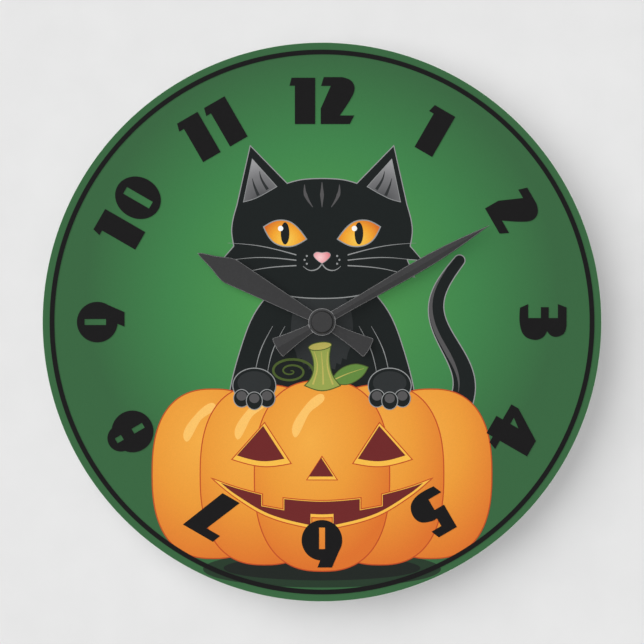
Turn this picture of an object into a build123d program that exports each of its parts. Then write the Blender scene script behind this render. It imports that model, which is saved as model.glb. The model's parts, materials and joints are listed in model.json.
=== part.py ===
"""A round wall clock: an acrylic dial panel on a battery quartz movement, with two hands."""

from build123d import *
import os
from math import acos, atan2, cos, pi, radians, sin, tan

os.makedirs("parts", exist_ok=True)

# ------------------------------------------------------------------------------------------
# Driving dimensions, in millimetres and degrees.
#
# Everything is laid out about the hand spindle: x to the right, z up, and y = 0 on the wall,
# negative towards the front. A pair such as (-20.2, -17.0) is a piece's front and back y.
# ------------------------------------------------------------------------------------------
HANGER_Z = 34.0  # hanger hole above the spindle; the hole becomes the model's origin

DIAL_RADIUS = 273.0 / 2
DIAL_Y = (-20.2, -17.0)
DIAL_HOLE = 4.1

CASE_HALF = 28.0
CASE_WALL = 1.4
CASE_CORNER = 3.0
CASE_FRONT = -16.0
FRONT_WALL_BACK = -14.7
CASE_SPLIT = -6.0
REAR_WALL_FRONT = -1.2
CASE_INNER = CASE_HALF - CASE_WALL

PLATE_Y = (-8.2, -7.2)
BRIDGE_Y = (-2.4, -1.5)
PIVOT_BACK = -1.7
STATOR_Y = (-3.7, -2.9)
BOARD_Y = (-3.3, -2.5)
HANGER_Y = (-1.2, 0.0)

RUNNING_GAP = 0.07  # radial clearance of the tubes on the spindle
PIVOT_GAP = 0.06  # radial clearance of the small pivots

# Concentric spindle, from the outside in.
BUSHING_RADIUS = 4.0
HOUR_TUBE = 2.75
MINUTE_TUBE = 1.75
ARBOR_FLATS = 2.9  # across the two flats that drive the minute hand
ARBOR_TAIL = 1.5  # radius of the minute tube inside the centre wheel
SECONDS_ARBOR = 0.5

# Modules and tooth counts of the two trains.
MOTION_MODULE = 0.3125
HOUR_MODULE = 0.3
CENTRE_MODULE = 6.8 / 36
TRAIN_MODULE = 0.2
ROTOR_MODULE = 0.15
CANNON_TEETH, MOTION_TEETH, SETTING_TEETH = 12, 36, 24
MOTION_PINION_TEETH, HOUR_TEETH = 10, 40
CENTRE_TEETH, THIRD_PINION_TEETH, THIRD_TEETH = 64, 8, 60
SECONDS_PINION_TEETH, SECONDS_TEETH = 8, 60
INTERMEDIATE_PINION_TEETH, INTERMEDIATE_TEETH = 10, 60
ROTOR_PINION_TEETH = 12

# What sits on the spindle in front of the dial.
BUSHING_FRONT = -23.0
NUT_FRONT = -22.7
WASHER_FRONT = -20.7
HOUR_HUB_FRONT = -25.2
MINUTE_HUB_Y = (-27.0, -26.3)
CAP_FRONT = -29.2
NUB_FRONT = -28.6
NUB_RADIUS = 1.6

# Hands, at rest: clock angles in degrees clockwise from twelve.
HOUR_ANGLE = 299.0
MINUTE_ANGLE = 60.0
HAND_SHEET = 0.45
HAND_SLOPE = 0.16  # how fast the two facets fall away from the ridge
HAND_EASE = 0.15  # chamfer round each hand's front outline
NECK_HALF = 2.35  # half width of both hands where they leave the hub
NECK_END = -7.3
HUB_RADIUS = 6.6

# Battery cell.
CELL_RADIUS = 7.0
CELL_Y, CELL_Z = -7.4, -19.3
CELL_X = (-25.0, 24.2)
CELL_NUB_END = 25.5


# ------------------------------------------------------------------------------------------
# Geometry helpers
# ------------------------------------------------------------------------------------------
def slab(face, span):
    """Extrude a face drawn as (x, z) into a solid between two y values."""
    front, back = span
    return extrude(Plane.XZ.offset(-back) * face, amount=back - front, dir=(0, -1, 0))


def disc(radius, span, at=(0, 0), bore=0.0):
    """A round plate along y, with a hole if a bore is given."""
    face = Circle(radius)
    if bore:
        face -= Circle(bore)
    return slab(Pos(*at) * face, span)


def cone(front_radius, back_radius, span, at=(0, 0)):
    """A frustum along y."""
    front, back = span
    x, z = at
    turned = Rot(90, 0, 0) * Cone(back_radius, front_radius, back - front)
    return Pos(x, (front + back) / 2, z) * turned


def block(x, y, z):
    """A box between the low and high values of each axis."""
    low, high = zip(x, y, z)
    size = [b - a for a, b in zip(low, high)]
    middle = [(a + b) / 2 for a, b in zip(low, high)]
    return Pos(*middle) * Box(*size)


def rod_x(radius, x, y, z):
    """A round bar along x."""
    return Pos((x[0] + x[1]) / 2, y, z) * Rot(0, 90, 0) * Cylinder(radius, x[1] - x[0])


def rod_z(radius, x, y, z):
    """A round bar along z."""
    return Pos(x, y, (z[0] + z[1]) / 2) * Cylinder(radius, z[1] - z[0])


def polar(radius, angle):
    """The (x, z) point at a radius and an angle in radians, anticlockwise from +x."""
    return (radius * cos(angle), radius * sin(angle))


def involute(angle):
    return tan(angle) - angle


def gear_face(teeth, module, turn=0.0, bore=0.0):
    """An involute gear as a polygon, with backlash, its first tooth turned to an angle."""
    pressure = radians(20)
    pitch = teeth * module / 2
    base = pitch * cos(pressure)
    tip = pitch + 0.9 * module
    root = pitch - 1.3 * module
    half_tooth = pi / (2 * teeth) - 0.1 * module / pitch
    start = max(base, root)
    steps = 2
    radii = [start + (tip - start) * i / steps for i in range(steps + 1)]
    flank = [(r, half_tooth + involute(pressure) - involute(acos(min(1.0, base / r)))) for r in radii]
    if root < start:
        flank.insert(0, (root, flank[0][1]))
    points = []
    for tooth in range(teeth):
        middle = turn + 2 * pi * tooth / teeth
        points += [polar(r, middle - a) for r, a in flank]
        points += [polar(r, middle + a) for r, a in reversed(flank)]
    face = make_face(Polyline(*points, close=True))
    if bore:
        face -= Circle(bore)
    return face


def mesh_angle(teeth, turn, mate_teeth, centre, mate_centre):
    """The turn that puts a mating gear's teeth in this gear's gaps."""
    toward = atan2(mate_centre[1] - centre[1], mate_centre[0] - centre[0])
    phase = (toward - turn) * teeth / (2 * pi)
    return toward + pi - (2 * pi / mate_teeth) * (0.5 - phase)


def wheel(teeth, module, span, turn=0.0, at=(0, 0), bore=0.0):
    """A gear as a solid."""
    return slab(Pos(*at) * gear_face(teeth, module, turn, bore), span)


def pivots(at, sections):
    """A stepped arbor: one (radius, span) after another."""
    return Part() + [disc(radius, span, at) for radius, span in sections]


def step_from(start, distance, slope):
    """The (x, z) point at a distance from another, at a slope in degrees up from +x."""
    x, z = polar(distance, radians(slope))
    return (start[0] + x, start[1] + z)


def centre_distance(teeth, mate_teeth, module):
    return (teeth + mate_teeth) * module / 2


# ------------------------------------------------------------------------------------------
# Where each arbor stands, from the gears' centre distances
# ------------------------------------------------------------------------------------------
SPINDLE = (0.0, 0.0)
MOTION_AT = step_from(SPINDLE, centre_distance(CANNON_TEETH, MOTION_TEETH, MOTION_MODULE), 0)
SETTING_AT = step_from(MOTION_AT, centre_distance(MOTION_TEETH, SETTING_TEETH, MOTION_MODULE), 45)
THIRD_AT = step_from(SPINDLE, centre_distance(CENTRE_TEETH, THIRD_PINION_TEETH, CENTRE_MODULE), 30)
INTERMEDIATE_AT = step_from(
    SPINDLE, centre_distance(SECONDS_TEETH, INTERMEDIATE_PINION_TEETH, TRAIN_MODULE), 150
)
ROTOR_AT = step_from(
    INTERMEDIATE_AT, centre_distance(INTERMEDIATE_TEETH, ROTOR_PINION_TEETH, ROTOR_MODULE), 120
)

BRIDGE_POSTS = [(1.5, 10.3), (-10.5, -4.0), (8.5, -6.5)]
CASE_POSTS = [(x, z) for x in (-22.5, 22.5) for z in (-7.5, 22.5)]
STATOR_POSTS = [(-16.65, 14.0), (-16.65, 0.5)]
BOARD_POSTS = [(-11.8, 15.0), (7.8, 19.8)]
SNAP_Z = (-16.0, 13.0)
HANGER_SCREW_AT = [(-7.0, 25.0), (7.0, 25.0)]

COIL_X, COIL_Y = -21.0, -4.1
COIL_Z = (3.0, 16.0)
CORE_Z = (-2.0, 21.0)
CORE_HALF = 1.5

KNOB_RADIUS = 6.0
KNOB_CUP = 6.6
KNOB_SHAFT = 1.2
BATTERY_TOP = -11.9
BATTERY_OPENING = Pos(0, (BATTERY_TOP - CASE_INNER) / 2) * Rectangle(52.0, BATTERY_TOP + CASE_INNER)


# ------------------------------------------------------------------------------------------
# Dial
# ------------------------------------------------------------------------------------------
def dial_panel():
    """The acrylic disc, its edges eased by a small chamfer."""
    panel = disc(DIAL_RADIUS, DIAL_Y)
    panel = chamfer(panel.edges(), 0.3)
    return panel - disc(DIAL_HOLE, DIAL_Y)


def dial_gasket():
    """The soft washer between the movement and the dial."""
    return disc(9.0, (DIAL_Y[1], CASE_FRONT), bore=BUSHING_RADIUS + 0.05)


def dial_washer():
    return disc(6.2, (WASHER_FRONT, DIAL_Y[0]), bore=BUSHING_RADIUS + 0.08)


def hex_nut():
    """The thin nut that clamps the dial, with eased corners."""
    span = (NUT_FRONT, WASHER_FRONT)
    across_flats = 11.0
    nut = slab(RegularPolygon(across_flats / 2, 6, major_radius=False), span)
    dome = cone(across_flats / 2, across_flats / 2 + 2.5, span)
    return (nut & dome) - disc(BUSHING_RADIUS + 0.02, span)


def threaded_bushing():
    """The brass bush through the dial: a flange inside the case and rings for its thread."""
    flange_back = -14.0
    bush = disc(BUSHING_RADIUS, (BUSHING_FRONT, flange_back)) + disc(6.0, (FRONT_WALL_BACK, flange_back))
    grooves, pitch = 8, 0.75
    for turn in range(grooves):
        y = BUSHING_FRONT + 0.4 + turn * pitch
        bush -= disc(BUSHING_RADIUS + 1, (y, y + pitch / 2), bore=BUSHING_RADIUS - 0.25)
    return bush - disc(HOUR_TUBE + RUNNING_GAP, (BUSHING_FRONT, flange_back))


# ------------------------------------------------------------------------------------------
# Movement case
# ------------------------------------------------------------------------------------------
def case_square(half, corner):
    return RectangleRounded(2 * half, 2 * half, corner)


def mirrored_x(shape):
    """A shape and its mirror image about the clock's centre plane."""
    return shape + mirror(shape, about=Plane.YZ)


def snap_shape(side_gap, depth_gap):
    """One snap tongue in the right-hand wall at each height, or its pocket with gaps added."""
    tongues = Part()
    for z in SNAP_Z:
        height = (z - 3.0 - side_gap, z + 3.0 + side_gap)
        tongues += block((CASE_INNER, 27.35 + depth_gap), (-9.6 - depth_gap, CASE_SPLIT), height)
        tongues += block((27.3, 27.95 + depth_gap), (-9.5 - depth_gap, -8.0 + depth_gap), height)
    return tongues


def front_case():
    """The front half of the movement case: wall, posts, bearings and battery cradle."""
    case = slab(case_square(CASE_HALF, CASE_CORNER), (CASE_FRONT, CASE_SPLIT))
    case = fillet(case.faces().sort_by(Axis.Y)[0].edges(), 0.8)
    case -= slab(case_square(CASE_INNER, CASE_CORNER - CASE_WALL), (FRONT_WALL_BACK, CASE_SPLIT))
    inside = (FRONT_WALL_BACK, CASE_SPLIT)
    case += block((-CASE_INNER, CASE_INNER), inside, (BATTERY_TOP, BATTERY_TOP + 1.0))
    for x in (-12.0, 12.0):
        rib = block((x - 0.6, x + 0.6), (FRONT_WALL_BACK, -9.5), (-CASE_INNER, BATTERY_TOP))
        case += rib - rod_x(CELL_RADIUS + 0.3, (x - 1, x + 1), CELL_Y, CELL_Z)
    for at in CASE_POSTS:
        case += disc(2.0, (FRONT_WALL_BACK, PLATE_Y[0]), at)
    case += disc(1.2, (FRONT_WALL_BACK, -14.1), MOTION_AT)
    case += disc(1.6, (FRONT_WALL_BACK, -13.0), SETTING_AT)
    case -= disc(0.5 + PIVOT_GAP, (-15.2, -14.1), MOTION_AT)
    case -= disc(0.7 + PIVOT_GAP, (-15.0, -13.0), SETTING_AT)
    case -= disc(BUSHING_RADIUS + 0.05, (CASE_FRONT, FRONT_WALL_BACK))
    return case - mirrored_x(snap_shape(0.1, 0.1))


def rear_cover():
    """The rear half: battery opening, knob cup, hanger pad, snap tongues and polarity marks."""
    cover = slab(case_square(CASE_HALF, CASE_CORNER), (CASE_SPLIT, 0))
    cover = fillet(cover.faces().sort_by(Axis.Y)[-1].edges(), 0.6)
    cover -= slab(case_square(CASE_INNER, CASE_CORNER - CASE_WALL), (CASE_SPLIT, REAR_WALL_FRONT))
    cover += disc(KNOB_CUP + 0.6, (-4.0, REAR_WALL_FRONT), SETTING_AT)
    cover += block((-14.0, 14.0), (-2.4, REAR_WALL_FRONT), (22.3, CASE_INNER))
    for at in HANGER_SCREW_AT:
        cover += disc(2.0, (-5.4, -2.4), at)
    cover -= slab(BATTERY_OPENING, (REAR_WALL_FRONT, 0))
    cover -= disc(KNOB_CUP, (-3.0, 0), SETTING_AT)
    cover -= disc(KNOB_SHAFT + PIVOT_GAP, (-4.0, -3.0), SETTING_AT)
    cover -= block((-12.1, 12.1), HANGER_Y, (21.9, CASE_HALF + 1))
    for at in HANGER_SCREW_AT:
        cover -= disc(0.8, (-5.0, -1.2), at)
    bar = Pos(0, BATTERY_TOP + 3.4) * Rectangle(3.6, 0.9)
    plus = Pos(21.0, 0) * (bar + Pos(0, BATTERY_TOP + 3.4) * Rectangle(0.9, 3.6))
    cover -= slab(plus, (-0.3, 0))
    cover -= slab(Pos(-21.0, 0) * bar, (-0.3, 0))
    return cover + mirrored_x(snap_shape(0.0, 0.0))


def hanger_plate():
    """The steel hanger with its keyhole, screwed to the top of the rear cover."""
    width, low, high, corner = 24.0, 22.0, 46.0, 6.0
    outline = Pos(0, (low + high) / 2) * RectangleRounded(width, high - low, corner)
    outline += Pos(0, low + corner / 2) * Rectangle(width, corner)
    slot_top = 6.0
    keyhole = Circle(4.0) + Pos(0, slot_top / 2) * Rectangle(4.0, slot_top)
    keyhole += Pos(0, slot_top) * Circle(2.0)
    plate = slab(outline - Pos(0, HANGER_Z) * keyhole, HANGER_Y)
    for at in HANGER_SCREW_AT:
        plate -= disc(1.0, HANGER_Y, at) + cone(1.0, 1.9, (-0.9, 0), at)
    return plate


def hanger_screws():
    """Two countersunk screws, flush with the hanger."""
    screws = Part()
    for at in HANGER_SCREW_AT:
        screw = disc(0.79, (-4.8, -0.85), at) + cone(0.95, 1.82, (-0.85, -0.05), at)
        screws += screw - block((at[0] - 1.2, at[0] + 1.2), (-0.5, 0), (at[1] - 0.2, at[1] + 0.2))
    return screws


# ------------------------------------------------------------------------------------------
# Movement plates
# ------------------------------------------------------------------------------------------
def middle_plate():
    """The plate between the motion work and the train, with the posts that stand on it."""
    outline = Pos(0, 7.8) * RectangleRounded(50.0, 36.4, 2.0)
    plate = slab(outline, PLATE_Y)
    for at in BRIDGE_POSTS:
        plate += disc(1.6, (PLATE_Y[1], BRIDGE_Y[0]), at)
    for at in STATOR_POSTS:
        plate += disc(1.1, (PLATE_Y[1], STATOR_Y[0]), at)
    for at in BOARD_POSTS:
        plate += disc(1.2, (PLATE_Y[1], BOARD_Y[0]), at)
    for at in BRIDGE_POSTS:
        plate -= disc(0.6, (-6.6, BRIDGE_Y[0]), at)
    holes = [(SPINDLE, ARBOR_TAIL), (MOTION_AT, 0.5), (THIRD_AT, 0.35)]
    holes += [(INTERMEDIATE_AT, 0.3), (ROTOR_AT, 0.25)]
    for at, radius in holes:
        plate -= disc(radius + PIVOT_GAP, PLATE_Y, at)
    return plate - disc(KNOB_SHAFT + 0.3, PLATE_Y, SETTING_AT)


def train_bridge():
    """The rear bridge that carries the train's back pivots."""
    top_post, left_post, right_post = BRIDGE_POSTS
    around = make_face(Polyline(top_post, ROTOR_AT, left_post, right_post, close=True))
    outline = offset(around, 2.6) + Pos(*THIRD_AT) * Circle(2.2)
    outline -= Pos(*SETTING_AT) * Circle(KNOB_CUP + 1.0)
    bridge = slab(outline, BRIDGE_Y)
    for at in BRIDGE_POSTS:
        bridge -= disc(0.6, BRIDGE_Y, at) + cone(0.6, 1.25, (-2.15, -1.5), at)
    for at, radius in [(SPINDLE, 0.3), (THIRD_AT, 0.35), (INTERMEDIATE_AT, 0.3), (ROTOR_AT, 0.25)]:
        bridge -= disc(radius + PIVOT_GAP, BRIDGE_Y, at)
    return bridge


def bridge_screws():
    """Three countersunk screws that hold the bridge to its posts."""
    screws = Part()
    for x, z in BRIDGE_POSTS:
        screw = disc(0.58, (-6.0, -2.1), (x, z)) + cone(0.58, 1.15, (-2.1, -1.55), (x, z))
        screws += screw - block((x - 0.9, x + 0.9), (-1.8, -1.5), (z - 0.15, z + 0.15))
    return screws


# ------------------------------------------------------------------------------------------
# Stepping motor and circuit
# ------------------------------------------------------------------------------------------
def stator():
    """The soft-iron plate: a block round the rotor and two arms out to the coil core."""
    rotor_x, rotor_z = ROTOR_AT
    half, chamfer_side, arm = 3.9, 2.2, 3.0
    left, riser = COIL_X - CORE_HALF, -17.9
    block_face = Pos(rotor_x, rotor_z) * Rectangle(2 * half, 2 * half)
    corner = Pos(rotor_x + half, rotor_z - half) * Rot(0, 0, 45)
    block_face -= corner * Rectangle(chamfer_side * 1.4, chamfer_side * 1.4)
    outline = block_face
    for near, far in ((rotor_z + half, CORE_Z[1]), (rotor_z - half, CORE_Z[0])):
        step = arm if near > rotor_z else -arm
        width = rotor_x - riser
        outline += Pos(riser + width / 2, near - step / 2) * Rectangle(width, arm)
        inner, outer = sorted((near - step, far))
        outline += Pos(riser + arm / 2, (inner + outer) / 2) * Rectangle(arm, outer - inner)
        outline += Pos((left + riser + arm) / 2, far - step / 2) * Rectangle(riser + arm - left, arm)
    return slab(outline - Pos(rotor_x, rotor_z) * Circle(2.8), STATOR_Y)


def coil_core():
    return block((COIL_X - CORE_HALF, COIL_X + CORE_HALF), (-4.5, STATOR_Y[0]), CORE_Z)


def coil_bobbin():
    """The plastic former: a barrel and two flanges round the core."""
    flange = 0.8
    low, high = COIL_Z
    bobbin = rod_z(1.9, COIL_X, COIL_Y, (low - flange, high + flange))
    bobbin += rod_z(2.75, COIL_X, COIL_Y, (low - flange, low))
    bobbin += rod_z(2.75, COIL_X, COIL_Y, (high, high + flange))
    return bobbin - block((COIL_X - CORE_HALF, COIL_X + CORE_HALF), (-4.5, STATOR_Y[0]), CORE_Z)


def coil_winding():
    return rod_z(2.5, COIL_X, COIL_Y, COIL_Z) - rod_z(1.9, COIL_X, COIL_Y, COIL_Z)


def circuit_board():
    return block((-13.5, 9.5), BOARD_Y, (12.6, 21.6))


def chip_blob():
    """The moulded drop of resin over the chip."""
    drop = disc(2.6, (BOARD_Y[0] - 1.0, BOARD_Y[0]), (-6.0, 17.2))
    return fillet(drop.faces().sort_by(Axis.Y)[0].edges(), 0.8)


def quartz_crystal():
    """The crystal's can, lying on the board, with its two leads."""
    radius, z = 1.0, 17.4
    can = rod_x(radius, (0.6, 6.8), BOARD_Y[0] - radius, z)
    for side in (-0.35, 0.35):
        can += rod_x(0.15, (-1.6, 1.0), BOARD_Y[0] - 0.15, z + side)
    return can


def contact_positive():
    """The flat contact at the nub end: a plate, a strip up the wall and a foot on the board."""
    plate = block((25.8, 26.2), (-12.0, BOARD_Y[0]), (-25.0, -13.0))
    strip = block((25.8, 26.2), (BOARD_Y[0] - 1.6, BOARD_Y[0]), (-25.0, 17.0))
    foot = block((7.6, 26.2), (BOARD_Y[0] - 0.4, BOARD_Y[0]), (15.8, 17.0))
    return plate + strip + foot


def contact_negative():
    """The sprung contact at the flat end, its tongue bowed towards the cell."""
    plate = block((-26.4, -26.1), (-12.0, BOARD_Y[0]), (-25.0, -13.0))
    plate += rod_z(0.45, -25.75, CELL_Y, (CELL_Z - 3.0, CELL_Z + 3.0))
    strip = block((-26.4, -26.1), (BOARD_Y[0] - 1.6, BOARD_Y[0]), (-25.0, 23.4))
    run = block((-26.4, -11.8), (BOARD_Y[0] - 0.4, BOARD_Y[0]), (22.2, 23.4))
    foot = block((-13.0, -11.8), (BOARD_Y[0] - 0.4, BOARD_Y[0]), (20.0, 23.4))
    return plate + strip + run + foot


def battery_can():
    """The cell's steel can with its nub."""
    can = rod_x(CELL_RADIUS - 0.1, CELL_X, CELL_Y, CELL_Z)
    can = fillet(can.edges(), 0.5)
    return can + rod_x(2.7, (CELL_X[1] - 0.5, CELL_NUB_END), CELL_Y, CELL_Z)


def battery_wrapper():
    """The printed sleeve round the can."""
    sleeve = (CELL_X[0] + 0.6, CELL_X[1] - 0.6)
    inner = rod_x(CELL_RADIUS - 0.1, sleeve, CELL_Y, CELL_Z)
    return rod_x(CELL_RADIUS, sleeve, CELL_Y, CELL_Z) - inner


# ------------------------------------------------------------------------------------------
# Hands
# ------------------------------------------------------------------------------------------
def folded_blade(right_edge, ridge_y):
    """A blade pointing up, folded along its middle, from the edges of its right half."""
    half = make_face([*right_edge, Line(right_edge[-1] @ 1, right_edge[0] @ 0)])
    outline = half + mirror(half, about=Plane.YZ)
    half_width, low, high = 8.0, -30.0, 100.0
    fallen = ridge_y + half_width * HAND_SLOPE
    left = [(0, ridge_y), (-half_width, fallen), (-half_width, fallen + HAND_SHEET)]
    right = [(0, ridge_y + HAND_SHEET), (half_width, fallen + HAND_SHEET), (half_width, fallen)]
    section = make_face(Polyline(*left, *right, close=True))
    fold = Pos(0, 0, low) * extrude(section, high - low, dir=(0, 0, 1))
    blade = fold & slab(outline, (ridge_y - 1, ridge_y + 3))
    return chamfer(front_rim(blade, ridge_y), HAND_EASE)


def front_rim(blade, ridge_y):
    """A blade's outline edges on its two front facets."""
    rim = []
    for edge in blade.edges():
        middle = edge @ 0.5
        facet_y = ridge_y + abs(middle.X) * HAND_SLOPE
        if abs(middle.Y - facet_y) < 0.02 and abs(middle.X) > 0.05:
            rim.append(edge)
    return rim


def turned(shape, clock_angle):
    """Turn a piece that points to twelve to its clock angle."""
    return Rot(0, clock_angle, 0) * shape


def tail_edges(tail_length):
    """The right side of a tail, from the middle of its end to the neck at the hub."""
    wide, corner = 5.15, 0.5
    end = -tail_length
    return [
        ThreePointArc((0, end - 0.5), (wide * 0.5, end - 0.38), (wide - corner, end)),
        Line((wide - corner, end), (wide, end + corner)),
        Spline((wide, end + corner), (3.45, end + 9.5), (NECK_HALF, NECK_END)),
    ]


def minute_hand():
    """The long hand: a slim folded blade that swells a little before its tip."""
    edges = tail_edges(25.1)
    edges += [Line((NECK_HALF, NECK_END), (2.3, 12.0))]
    edges += [Spline((2.3, 12.0), (2.62, 32.0), (2.9, 57.0), (2.5, 68.0), (1.05, 85.0), (0.0, 94.2))]
    front = MINUTE_HUB_Y[0]
    hand = turned(folded_blade(edges, front), MINUTE_ANGLE)
    hand = hand - disc(HUB_RADIUS - 0.6, (front - 1, front + 2))
    hand += disc(HUB_RADIUS, MINUTE_HUB_Y)
    seat = turned(slab(flatted_face(MINUTE_TUBE + 0.01, ARBOR_FLATS + 0.02), MINUTE_HUB_Y), MINUTE_ANGLE)
    return hand - seat


def hour_hand():
    """The short hand: a broad folded blade with a rounded shoulder and a hollow-sided point."""
    edges = tail_edges(26.0)
    edges += [Spline((NECK_HALF, NECK_END), (2.2, 0.0), (2.5, 7.0)), Line((2.5, 7.0), (6.35, 50.4))]
    edges += [Spline((6.35, 50.4), (5.85, 53.6), (3.9, 58.5), (2.2, 63.4), (1.0, 67.3), (0.0, 69.3))]
    front = HOUR_HUB_FRONT
    hand = turned(folded_blade(edges, front), HOUR_ANGLE)
    hand = hand - disc(HUB_RADIUS - 0.8, (front - 1, front + 3))
    hand += disc(HUB_RADIUS - 0.2, (front, front + 0.6)) + disc(4.2, (front, front + 1.6))
    return hand - disc(HOUR_TUBE + 0.01, (front, front + 1.6))


def cap_nut():
    """The domed cap that screws onto the minute tube and hides it."""
    cap = disc(5.5, (CAP_FRONT, MINUTE_HUB_Y[0]))
    cap = fillet(cap.faces().sort_by(Axis.Y)[0].edges(), 0.7)
    return cap - disc(NUB_RADIUS + 0.02, (NUB_FRONT - 0.2, MINUTE_HUB_Y[0]))


# ------------------------------------------------------------------------------------------
# Motion work and train
# ------------------------------------------------------------------------------------------
def flatted_face(radius, across_flats):
    """A circle with two flats, left and right."""
    return Circle(radius) & Rectangle(across_flats, 4 * radius)


def cannon_arbor():
    """The minute tube: flats for the hand, a nub for the cap and the cannon pinion."""
    pinion_front, pinion_back, end = -12.0, -10.4, -6.3
    arbor = disc(NUB_RADIUS, (NUB_FRONT, MINUTE_HUB_Y[0]))
    arbor += turned(slab(flatted_face(MINUTE_TUBE, ARBOR_FLATS), MINUTE_HUB_Y), MINUTE_ANGLE)
    arbor += disc(MINUTE_TUBE, (MINUTE_HUB_Y[1], pinion_front))
    arbor += wheel(CANNON_TEETH, MOTION_MODULE, (pinion_front, pinion_back))
    arbor += disc(ARBOR_TAIL, (pinion_back, end))
    return arbor - disc(SECONDS_ARBOR + RUNNING_GAP, (NUB_FRONT, end))


def centre_wheel():
    return wheel(CENTRE_TEETH, CENTRE_MODULE, (-7.0, -6.3), bore=ARBOR_TAIL + 0.01)


def motion_wheel():
    """The wheel and pinion that turn the hour wheel once for twelve turns of the minute tube."""
    turn = mesh_angle(CANNON_TEETH, 0, MOTION_TEETH, SPINDLE, MOTION_AT)
    body = wheel(MOTION_TEETH, MOTION_MODULE, (-11.6, -10.8), turn, MOTION_AT)
    body += wheel(MOTION_PINION_TEETH, HOUR_MODULE, (-13.8, -12.4), 0, MOTION_AT)
    return body + pivots(MOTION_AT, [(0.5, (-15.0, -13.8)), (1.1, (-12.4, -11.6)), (0.5, (-10.8, -7.4))])


def hour_wheel():
    """The hour wheel and its tube, which carries the short hand."""
    turn = mesh_angle(MOTION_PINION_TEETH, 0, HOUR_TEETH, MOTION_AT, SPINDLE)
    wheel_front, wheel_back = -13.6, -12.8
    body = wheel(HOUR_TEETH, HOUR_MODULE, (wheel_front, wheel_back), turn)
    body += disc(HOUR_TUBE, (HOUR_HUB_FRONT, wheel_front))
    return body - disc(MINUTE_TUBE + RUNNING_GAP, (HOUR_HUB_FRONT, wheel_back))


def setting_gear():
    motion_turn = mesh_angle(CANNON_TEETH, 0, MOTION_TEETH, SPINDLE, MOTION_AT)
    turn = mesh_angle(MOTION_TEETH, motion_turn, SETTING_TEETH, MOTION_AT, SETTING_AT)
    return wheel(SETTING_TEETH, MOTION_MODULE, (-11.7, -10.7), turn, SETTING_AT, bore=KNOB_SHAFT + 0.01)


def setting_knob():
    """The knob that sets the hands, scalloped round its rim, on its long shaft."""
    face = Circle(KNOB_RADIUS)
    scallops = 24
    for i in range(scallops):
        face -= Pos(*polar(KNOB_RADIUS + 0.25, 2 * pi * i / scallops)) * Circle(0.5)
    knob = slab(face, (-2.6, -0.3)) - disc(3.6, (-0.9, -0.3), bore=2.4)
    knob = Pos(SETTING_AT[0], 0, SETTING_AT[1]) * knob
    return knob + pivots(SETTING_AT, [(KNOB_SHAFT, (-11.7, -2.6)), (0.7, (-14.8, -11.7))])


def third_wheel():
    turn = mesh_angle(CENTRE_TEETH, 0, THIRD_PINION_TEETH, SPINDLE, THIRD_AT)
    body = wheel(THIRD_PINION_TEETH, CENTRE_MODULE, (-7.1, -6.1), turn, THIRD_AT)
    body += wheel(THIRD_TEETH, TRAIN_MODULE, (-5.9, -5.2), 0, THIRD_AT)
    return body + pivots(THIRD_AT, [(0.35, (-8.0, -7.1)), (0.7, (-6.1, -5.9)), (0.35, (-5.2, PIVOT_BACK))])


def seconds_wheel():
    turn = mesh_angle(THIRD_TEETH, 0, SECONDS_PINION_TEETH, THIRD_AT, SPINDLE)
    body = wheel(SECONDS_PINION_TEETH, TRAIN_MODULE, (-6.05, -5.05), turn)
    body += disc(0.9, (-5.05, -4.7)) + wheel(SECONDS_TEETH, TRAIN_MODULE, (-4.7, -4.0))
    return body - disc(0.31, (-6.05, -4.0))


def seconds_arbor():
    """The long thin arbor inside the minute tube; it ends under the cap."""
    return pivots(SPINDLE, [(SECONDS_ARBOR, (-28.0, -6.1)), (0.3, (-6.1, PIVOT_BACK))])


def intermediate_wheel():
    turn = mesh_angle(SECONDS_TEETH, 0, INTERMEDIATE_PINION_TEETH, SPINDLE, INTERMEDIATE_AT)
    body = wheel(INTERMEDIATE_PINION_TEETH, TRAIN_MODULE, (-4.85, -3.85), turn, INTERMEDIATE_AT)
    body += wheel(INTERMEDIATE_TEETH, ROTOR_MODULE, (-5.9, -5.2), 0, INTERMEDIATE_AT)
    steps = [(0.3, (-7.9, -5.9)), (0.7, (-5.2, -4.85)), (0.3, (-3.85, PIVOT_BACK))]
    return body + pivots(INTERMEDIATE_AT, steps)


def rotor_pinion():
    """The rotor's arbor with its pinion and the seat for the magnet."""
    turn = mesh_angle(INTERMEDIATE_TEETH, 0, ROTOR_PINION_TEETH, INTERMEDIATE_AT, ROTOR_AT)
    body = wheel(ROTOR_PINION_TEETH, ROTOR_MODULE, (-6.05, -5.05), turn, ROTOR_AT)
    steps = [(0.25, (-7.9, -6.05)), (0.9, (-5.05, -4.6)), (0.6, (-4.6, -2.8)), (0.25, (-2.8, PIVOT_BACK))]
    return body + pivots(ROTOR_AT, steps)


def rotor_magnet():
    return disc(2.2, (-4.6, -2.8), ROTOR_AT, bore=0.61)


# ------------------------------------------------------------------------------------------
# One STEP file per piece
# ------------------------------------------------------------------------------------------
PIECES = [
    dial_panel, dial_gasket, dial_washer, hex_nut, threaded_bushing,
    front_case, rear_cover, hanger_plate, hanger_screws,
    middle_plate, train_bridge, bridge_screws,
    stator, coil_core, coil_bobbin, coil_winding,
    circuit_board, chip_blob, quartz_crystal, contact_positive, contact_negative,
    battery_can, battery_wrapper,
    minute_hand, hour_hand, cap_nut,
    cannon_arbor, centre_wheel, motion_wheel, hour_wheel, setting_gear, setting_knob,
    third_wheel, seconds_wheel, seconds_arbor, intermediate_wheel, rotor_pinion, rotor_magnet,
]

for make_piece in PIECES:
    export_step(Pos(0, 0, -HANGER_Z) * make_piece(), f"parts/{make_piece.__name__}.step")
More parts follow.
